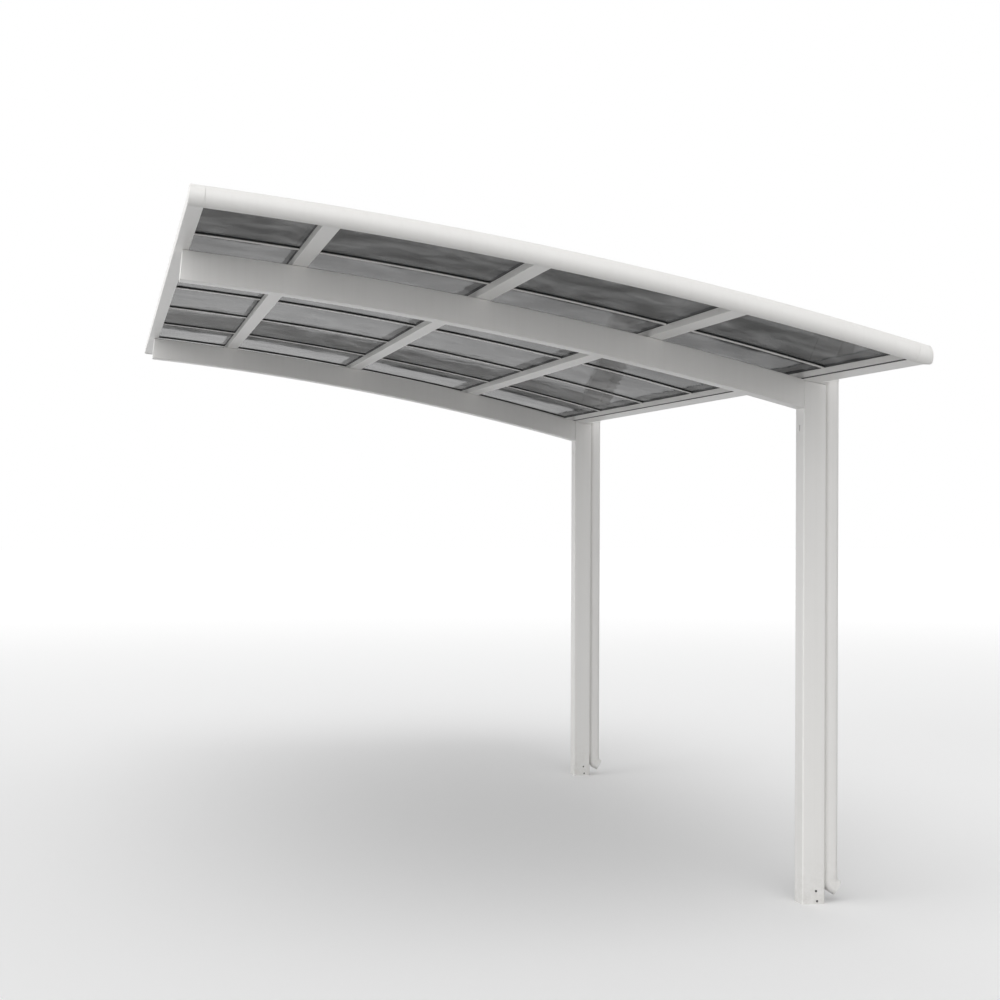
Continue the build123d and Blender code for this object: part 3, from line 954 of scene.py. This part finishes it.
class CARPORT_OT_trims(bpy.types.Operator):
    """Builds the half-round trims and the moulded pieces at their ends"""

    bl_idname = "carport.trims"
    bl_label = "Trims and corners"

    def execute(self, context):
        sizes = context.scene.carport_sizes
        outline = trim_outline(sizes.edge)
        for name, side in (("near", -1), ("far", 1)):
            trim = solid(rings_along_arch(at_side(outline, side), RAIL_INNER_X, TRIM_END_X))
            add_piece(name + "_trim_profile", trim, "white_coat", [name + "_trim"])
            high = high_corner_shape(side, sizes.end_edge)
            add_piece(name + "_high_corner_cap", high, "white_plastic", [name + "_high_corner"])
            low = low_corner_shape(side, sizes.end_edge)
            add_piece(name + "_low_corner_cap", low, "white_plastic", [name + "_low_corner"])
        return {"FINISHED"}


# Sheets and joints
def sheet_shape(k, sag):
    """Sheet of strip k: its section carried along the arch. Between two places that hold it, it hangs by
    one wave of a cosine times a power of the sine across it, which is nothing at its sides."""
    reach = JOINT_WEB / 2 + PANEL_GAP
    y0 = FRAME_NEAR_Y + PANEL_GAP if k == 0 else JOINT_Y[k - 1] + reach
    y1 = FRAME_FAR_Y - PANEL_GAP if k == STRIP_COUNT - 1 else JOINT_Y[k] - reach
    outline = rounded(box_outline(y0, y1, PANEL_LOW, PANEL_HIGH), PANEL_CORNER, steps=3)
    low_near, low_far, high_far, high_near = outline.reshape(4, -1, 2)
    across = np.linspace(y0 + 2 * PANEL_CORNER, y1 - 2 * PANEL_CORNER, SHEET_COLUMNS)
    below = np.stack([across, np.full(SHEET_COLUMNS, PANEL_LOW)], 1)
    above = np.stack([across[::-1], np.full(SHEET_COLUMNS, PANEL_HIGH)], 1)
    y, r = np.concatenate([low_near, below, low_far, high_far, above, high_near]).T
    ends = angle_over([RAIL_OUTER_X + PROFILE_WALL + PANEL_GAP, PANEL_END_X])
    theta = np.linspace(ends[0], ends[1], SHEET_STEPS + 1)[:, None]
    bay = np.interp(CENTRE_X + ARCH_RADIUS * np.sin(theta), HELD_X, np.arange(len(HELD_X)))
    along = (1 - np.cos(2 * math.pi * bay)) / 2
    sideways = np.sin(math.pi * np.clip((y - y0) / (y1 - y0), 0.0, 1.0)) ** SAG_POWER
    uneven = 1.0 + SAG_SPREAD * math.sin(SAG_TURN * k + SAG_START)
    return solid(on_arch(theta, y[None, :], r[None, :] - sag * uneven * along * sideways[None, :]))


def clamp_shape(y, edge):
    """Profile between two sheets, carried along the arch: a flange, a web and a cap. The cap's top is a
    parabola that is added after the last point of its far upper corner."""
    half = JOINT_FLANGE / 2
    cap = JOINT_CAP / 2
    web = JOINT_WEB / 2
    top = CLAMP_LOW + JOINT_CAP_EDGE
    points = [
        (y - web, FLANGE),
        (y - half, FLANGE),
        (y - half, 0.0),
        (y + half, 0.0),
        (y + half, FLANGE),
        (y + web, FLANGE),
        (y + web, CLAMP_LOW),
        (y + cap, CLAMP_LOW),
        (y + cap, top),
        (y - cap, top),
        (y - cap, CLAMP_LOW),
        (y - web, CLAMP_LOW),
    ]
    cap_edges = [JOINT_CAP_LOW_EDGE, JOINT_CAP_HIGH_EDGE, JOINT_CAP_HIGH_EDGE, JOINT_CAP_LOW_EDGE]
    outline = rounded(points, [0, edge, edge, edge, edge, 0, 0, *cap_edges, 0], steps=3)
    share = np.linspace(JOINT_CROWN, -JOINT_CROWN, CROWN_COLUMNS)
    crown = np.stack([y + share * cap, top + JOINT_CAP_RISE * (1 - share ** 2)], 1)
    far_top = (outline[:, 1] > CLAMP_LOW + JOINT_CAP_EDGE / 2) & (outline[:, 0] > y)
    after = int(np.flatnonzero(far_top)[-1]) + 1
    section = np.concatenate([outline[:after], crown, outline[after:]])
    return solid(rings_along_arch(section, RAIL_INNER_X + JOINT_START_GAP, PANEL_END_X))


class CARPORT_OT_roof(bpy.types.Operator):
    """Builds the seven smoked sheets and the six clamp profiles between them"""

    bl_idname = "carport.roof"
    bl_label = "Sheets and joints"

    def execute(self, context):
        sizes = context.scene.carport_sizes
        for k in range(STRIP_COUNT):
            sheet = sheet_shape(k, sizes.sheet_sag)
            add_piece(f"smoked_sheet_{k + 1}", sheet, "smoked_sheet", [f"roof_panel_{k + 1}"])
        for number, y in enumerate(JOINT_Y, 1):
            clamp = clamp_shape(y, sizes.edge)
            add_piece(f"clamp_profile_{number}", clamp, "white_coat", [f"panel_joint_{number}"])
        return {"FINISHED"}


# Rainwater pieces
def pipe_outline(y):
    """Plan of a downpipe and its neck: a quarter circle at the outer corner, an arc that stops where the
    neck leaves it at the inner corner, the neck's corner on the post, and the other half mirrored."""
    edge = PIPE_HALF_Y - PIPE_CORNER
    outer = np.linspace(0.0, math.pi / 2, PIPE_CORNER_STEPS + 1)
    inner = np.linspace(0.0, math.acos((PIPE_NECK_HALF - edge) / PIPE_CORNER), PIPE_CORNER_STEPS + 1)
    middles = np.repeat([PIPE_RIGHT_X - PIPE_CORNER, PIPE_LEFT_X + PIPE_CORNER], PIPE_CORNER_STEPS + 1)
    across = np.concatenate([np.cos(outer), -np.sin(inner)])
    out = np.concatenate([np.sin(outer), np.cos(inner)])
    side = np.stack([middles + PIPE_CORNER * across, edge + PIPE_CORNER * out], 1)
    side = np.concatenate([side, [[POST_HALF_X, PIPE_NECK_HALF]]])
    return np.concatenate([side, side[::-1] * (1.0, -1.0)]) + (0.0, y)


def hood_outline(y, inset):
    """Plan of a hood: square at the gutter and rounded outside, drawn in by shares of an inset."""
    far = PIPE_RIGHT_X - inset * HOOD_DRAW_OUT
    flank = PIPE_HALF_Y - inset * HOOD_DRAW_FLANK
    outline = box_outline(GUTTER_OUTER_X, far, y - flank, y + flank)
    return rounded(outline, [0, HOOD_CORNER, HOOD_CORNER, 0], steps=7)


def hood_shape(y):
    """Hood on the downpipe at y: upright from its sloping seam, then rounded into its flat top by a
    quarter circle."""
    foot = hood_outline(y, 0.0)
    rings = [np.column_stack([foot, hood_z(foot[:, 0])])]
    top = float(head_z(GUTTER_OUTER_X)) + HOOD_RISE
    for a in np.linspace(0.0, math.pi / 2, HOOD_STEPS + 1):
        plan = hood_outline(y, HOOD_ROUND * (1 - math.cos(a)))
        level = top - HOOD_ROUND * (1 - math.sin(a))
        rings.append(np.column_stack([plan, np.full(len(plan), level)]))
    return solid(np.stack(rings))


def elbow_rings(y, inset):
    """Rounded section carried round a bend about an axis beyond the pipe, then straight to the mouth:
    the bend's ring k is the section turned by that share of the angle."""
    middle = (PIPE_LEFT_X + PIPE_RIGHT_X) / 2
    hx = (PIPE_RIGHT_X - PIPE_LEFT_X) / 2 - inset
    hy = PIPE_HALF_Y - inset
    outline = box_outline(middle - hx, middle + hx, y - hy, y + hy)
    section = rounded(outline, PIPE_CORNER - inset, PIPE_CORNER_STEPS)
    axis_x = PIPE_RIGHT_X + SHOE_BEND
    bend = np.linspace(0.0, SHOE_ANGLE, ELBOW_STEPS + 1)
    turn = np.concatenate([[0.0], bend, [SHOE_ANGLE]])[:, None]
    ahead = np.concatenate([[-SHOE_SOCKET], np.zeros(len(bend)), [SHOE_MOUTH]])[:, None]
    reach = axis_x - section[None, :, 0]
    x = axis_x - reach * np.cos(turn) + ahead * np.sin(turn)
    z = PIPE_BOTTOM - SHOE_SOCKET - reach * np.sin(turn) - ahead * np.cos(turn)
    return np.stack(np.broadcast_arrays(x, section[None, :, 1], z), -1)


class CARPORT_OT_rainwater(bpy.types.Operator):
    """Builds the downpipes, the hoods from the gutter and the shoes"""

    bl_idname = "carport.rainwater"
    bl_label = "Rainwater pieces"

    def execute(self, context):
        for name, y in POSTS:
            outline = pipe_outline(y)
            tube = solid(rings_upright(outline, PIPE_BOTTOM, hood_z(outline[:, 0]) - SEAT))
            add_piece(name + "_downpipe_tube", tube, "white_coat", [name + "_downpipe"])
            add_piece(name + "_outlet_hood", hood_shape(y), "white_coat", [name + "_gutter_outlet"])
            elbow = pipe(elbow_rings(y, -SHOE_PROUD), elbow_rings(y, PIPE_WALL))
            add_piece(name + "_shoe_elbow", elbow, "white_coat", [name + "_downpipe_shoe"])
        return {"FINISHED"}


# Screws
def screw_shape(head, washer):
    """Domed screw head with a hexagonal recess, on a washer if it has one: rings of a radius and a height,
    turned about the axis, closed at both ends. The recess follows the distance to a hexagon's side."""
    rings = []
    seat = 0.0
    if washer:
        rings = [(share * washer / 2, height, False) for share, height in WASHER_OUTLINE]
        seat = rings[-1][1]
        rings.append((HEAD_SEAT * head / 2, seat, False))
    rings += [(share * head / 2, seat + height, hexagonal) for share, height, hexagonal in HEAD_OUTLINE]
    a = np.arange(SCREW_SIDES) * 2 * math.pi / SCREW_SIDES
    hexagon = math.cos(math.pi / 6) / np.cos((a + math.pi / 6) % (math.pi / 3) - math.pi / 6)
    radius, height, hexagonal = np.array(rings).T[:, :, None]
    reach = radius * np.where(hexagonal > 0, hexagon, 1.0)
    return solid(np.stack(np.broadcast_arrays(reach * np.cos(a), reach * np.sin(a), height), -1))


def screws_at(places, directions, head, washer):
    """One shape of many screws: the screw's axes turned to each direction, then moved to each place."""
    vertices, faces = screw_shape(head, washer)
    up = np.asarray(directions, float)
    up = up / np.linalg.norm(up, axis=1)[:, None]
    other = np.where(np.abs(up[:, 2:]) > 0.9, [[0.0, 1.0, 0.0]], [[0.0, 0.0, 1.0]])
    side = np.cross(other, up)
    side /= np.linalg.norm(side, axis=1)[:, None]
    axes = np.stack([side, np.cross(up, side), up], 1)
    moved = np.einsum("vi,kij->kvj", vertices, axes) + np.asarray(places, float)[:, None, :]
    all_faces = [[i + len(vertices) * k for i in face] for k in range(len(up)) for face in faces]
    return moved.reshape(-1, 3), all_faces


def screw_rows(theta, y, r, head, washer):
    """Screws at every angle round the arch's axis and at every y, seated r above the arch line."""
    places = on_arch(theta[:, None], np.asarray(y)[None, :], r).reshape(-1, 3)
    up = np.stack([np.sin(theta), np.zeros(len(theta)), np.cos(theta)], 1)
    return screws_at(places, np.repeat(up, len(y), 0), head, washer)


class CARPORT_OT_screws(bpy.types.Operator):
    """Adds the screws in the clamp profiles and the trims' lips, and the dark plugs low on the posts"""

    bl_idname = "carport.screws"
    bl_label = "Screws"

    def execute(self, context):
        sizes = context.scene.carport_sizes
        over_purlins = [x + PURLIN_WIDTH / 2 for x in PURLIN_X]
        theta = angle_over([RAIL_INNER_X + SCREW_FROM_RAIL, *over_purlins, SCREW_AT_LEDGE_X])
        ridge = CLAMP_LOW + JOINT_CAP_EDGE + JOINT_CAP_RISE - SCREW_SINK
        roof = screw_rows(theta, JOINT_Y, ridge, sizes.screw_head, sizes.washer)
        add_piece("roof_screws", roof, "zinc_steel")
        lips = [FRAME_NEAR_Y + LIP_WIDTH / 2, FRAME_FAR_Y - LIP_WIDTH / 2]
        edge = screw_rows(theta, lips, CLAMP_LOW + PROFILE_WALL, sizes.screw_head, EDGE_WASHER)
        add_piece("edge_screws", edge, "zinc_steel")
        for name, y in POSTS:
            plugs = [(side, x, z) for side in (-1, 1) for x, z in PLUG_PLACES]
            places = [(x, y + side * POST_HALF_Y, z) for side, x, z in plugs]
            directions = [(0, side, 0) for side, x, z in plugs]
            plugged = screws_at(places, directions, sizes.screw_head, 0.0)
            add_piece(name + "_foot_plugs", plugged, "rubber_seal")
        return {"FINISHED"}


# Stage
def floor_material():
    """Matt floor, pale where it is seen or mirrored, and greyer where it throws light back up.
    Far from the object it fades into the white behind it."""
    f = new_finish("floor")
    seen = f.seen()
    place = f.out("ShaderNodeTexCoord", "Object")
    reach = f.out("ShaderNodeVectorMath", "Value", {"operation": "LENGTH"}, {0: place})
    fade = f.out("ShaderNodeMapRange", "Result", {"clamp": True, "interpolation_type": "SMOOTHSTEP"}, {
        "Value": reach, "From Min": FADE_START, "From Max": FADE_END, "To Min": 0.0, "To Max": 1.0,
    })
    pale = f.mix(fade, (0.94, 0.94, 0.94), (0.0, 0.0, 0.0))
    return f.surface(
        Base_Color=f.mix(seen, (0.46, 0.46, 0.46), pale),
        Emission_Color=f.mix(seen * fade, (0.0, 0.0, 0.0), (1.0, 1.0, 1.0)),
        Emission_Strength=1.0,
        Roughness=0.9,
        Specular_IOR_Level=0.1,
    )


def add_floor():
    """Square floor at the feet of the posts."""
    corners = box_outline(-FLOOR_HALF, FLOOR_HALF, -FLOOR_HALF, FLOOR_HALF)
    mesh = bpy.data.meshes.new("floor")
    mesh.from_pydata([(x, y, 0.0) for x, y in corners], [], [(0, 1, 2, 3)])
    mesh.materials.append(floor_material())
    floor = new_object("floor", mesh)


def add_world(scene):
    """White background that gives soft light from all sides, and less of it from +X."""
    world = bpy.data.worlds.new("studio")
    scene.world = world
    f = Finish(world, "ShaderNodeOutputWorld")
    direction = f.out("ShaderNodeTexCoord", "Generated")
    east = f.out("ShaderNodeSeparateXYZ", "X", None, {0: direction})
    light = WORLD_LIGHT * (1.0 - WORLD_SHADE * f.maths("MAXIMUM", east, 0.0))
    strength = light + f.seen() * (1.0 - light)
    white = {"Color": (1.0, 1.0, 1.0), "Strength": strength}
    back = f.out("ShaderNodeBackground", "Background", None, white)
    f.tree.links.new(back.socket, f.output.inputs["Surface"])


def add_lamps():
    """Wide soft lamps from the left, the front and above."""
    for name, energy, direction in LAMPS:
        lamp = bpy.data.lights.new(name, "SUN")
        lamp.energy = energy
        lamp.angle = LAMP_ANGLE
        hung = new_object(name, lamp)
        hung.rotation_mode = "QUATERNION"
        hung.rotation_quaternion = Vector(direction).to_track_quat("Z", "Y")


def add_camera(scene):
    """Camera that looks along +Y, turned by its yaw to the right, then up by its pitch and by its roll."""
    camera = bpy.data.cameras.new("camera")
    camera.sensor_width = CAMERA_SENSOR
    camera.lens = CAMERA_LENS
    camera.clip_end = CAMERA_REACH
    yaw, pitch, roll = CAMERA_YAW, CAMERA_PITCH, CAMERA_ROLL
    ahead = Vector((math.sin(yaw) * math.cos(pitch), math.cos(yaw) * math.cos(pitch), math.sin(pitch)))
    right = Vector((math.cos(yaw), -math.sin(yaw), 0.0))
    up = right.cross(ahead)
    across = right * math.cos(roll) + up * math.sin(roll)
    upward = up * math.cos(roll) - right * math.sin(roll)
    turn = Matrix((across, upward, -ahead)).transposed().to_4x4()
    scene.camera = new_object("camera", camera)
    scene.camera.matrix_world = Matrix.Translation(CAMERA_PLACE) @ turn


class CARPORT_OT_stage(bpy.types.Operator):
    """Adds the floor, the light and the camera at the photograph's viewing angle"""

    bl_idname = "carport.stage"
    bl_label = "Floor, light and camera"

    def execute(self, context):
        context.scene.view_settings.view_transform = "Standard"
        add_floor()
        add_world(context.scene)
        add_lamps()
        add_camera(context.scene)
        return {"FINISHED"}


# Panel and registration
STEPS = (
    CARPORT_OT_frame_finishes,
    CARPORT_OT_posts,
    CARPORT_OT_beams,
    CARPORT_OT_long_members,
    CARPORT_OT_trims,
    CARPORT_OT_roof,
    CARPORT_OT_rainwater,
    CARPORT_OT_screws,
    CARPORT_OT_stage,
)


class CARPORT_PT_panel(bpy.types.Panel):
    """Lists the settings and the steps of the carport."""

    bl_idname = "CARPORT_PT_panel"
    bl_label = "Carport"
    bl_space_type = "VIEW_3D"
    bl_region_type = "UI"
    bl_category = "Carport"

    def draw(self, context):
        for group in (context.scene.carport_sizes, context.scene.carport_colours):
            for name in group.__annotations__:
                self.layout.prop(group, name)
        for step in STEPS:
            self.layout.operator(step.bl_idname)


def register():
    for item in (CarportSizes, CarportColours, *STEPS, CARPORT_PT_panel):
        bpy.utils.register_class(item)
    bpy.types.Scene.carport_sizes = bpy.props.PointerProperty(type=CarportSizes)
    bpy.types.Scene.carport_colours = bpy.props.PointerProperty(type=CarportColours)


def unregister():
    del bpy.types.Scene.carport_colours
    del bpy.types.Scene.carport_sizes
    for item in (CARPORT_PT_panel, *STEPS[::-1], CarportColours, CarportSizes):
        bpy.utils.unregister_class(item)


def main():
    """Runs every step in order."""
    register()
    for step in STEPS:
        group, name = step.bl_idname.split(".")
        getattr(getattr(bpy.ops, group), name)()


if __name__ == "__main__":
    main()
